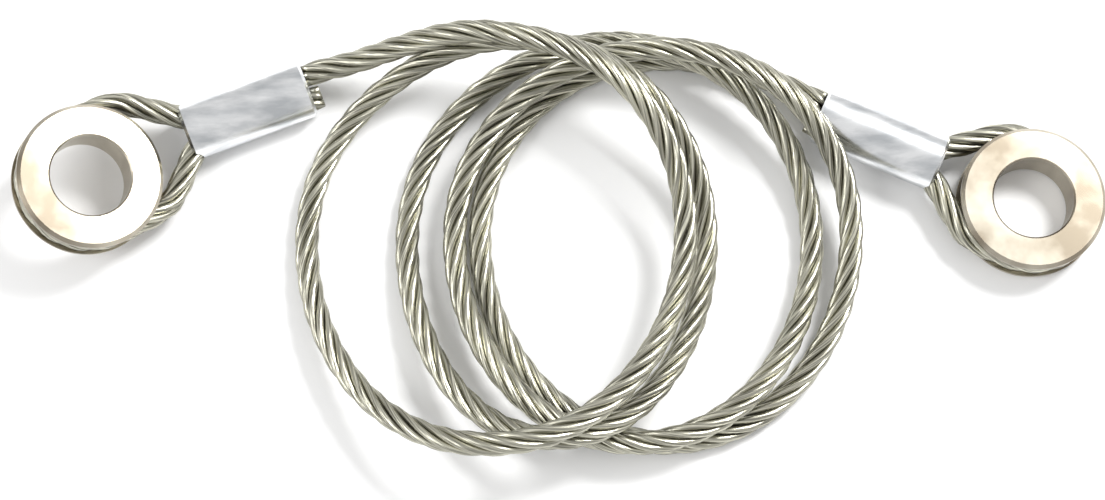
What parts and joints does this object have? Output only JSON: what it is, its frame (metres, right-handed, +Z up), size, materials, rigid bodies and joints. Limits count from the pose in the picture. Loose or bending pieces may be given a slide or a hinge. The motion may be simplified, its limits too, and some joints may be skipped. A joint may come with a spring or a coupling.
{
  "type": "security cable",
  "caption": "Coiled steel wire rope security cable with a grooved steel ring held in a pressed eye at each end.",
  "frame": {"origin": "on the floor, under the middle of the two end fittings (rings, ferrules and eyes)", "axes": "+X from the left ring to the right ring, +Z up from the surface the cable lies on"},
  "size_m": [0.2694, 0.1132, 0.0288],
  "materials": {
    "ring_steel": "turned",
    "ferrule_aluminium": "pressed",
    "rope_steel": "bright strands"
  },
  "bodies": {
    "cable": {"left_ferrule": "ferrule_aluminium", "right_ferrule": "ferrule_aluminium", "left_eye_rope": "rope_steel", "right_eye_rope": "rope_steel", "rope_coil": "rope_steel", "left_lead": "rope_steel", "right_lead": "rope_steel"},
    "left_ring": {"left_ring": "ring_steel"},
    "right_ring": {"right_ring": "ring_steel"}
  },
  "joints": [
    {"name": "left_ring_spin", "type": "hinge", "parent": "cable", "child": "left_ring", "pos_m": [-0.11647, -0.00568, 0.01462], "axis": [0.3557, -0.0357, 0.9339], "continuous": true},
    {"name": "right_ring_spin", "type": "hinge", "parent": "cable", "child": "right_ring", "pos_m": [0.11663, -0.00907, 0.00569], "axis": [0.032, -0.014, 0.9994], "continuous": true}
  ]
}
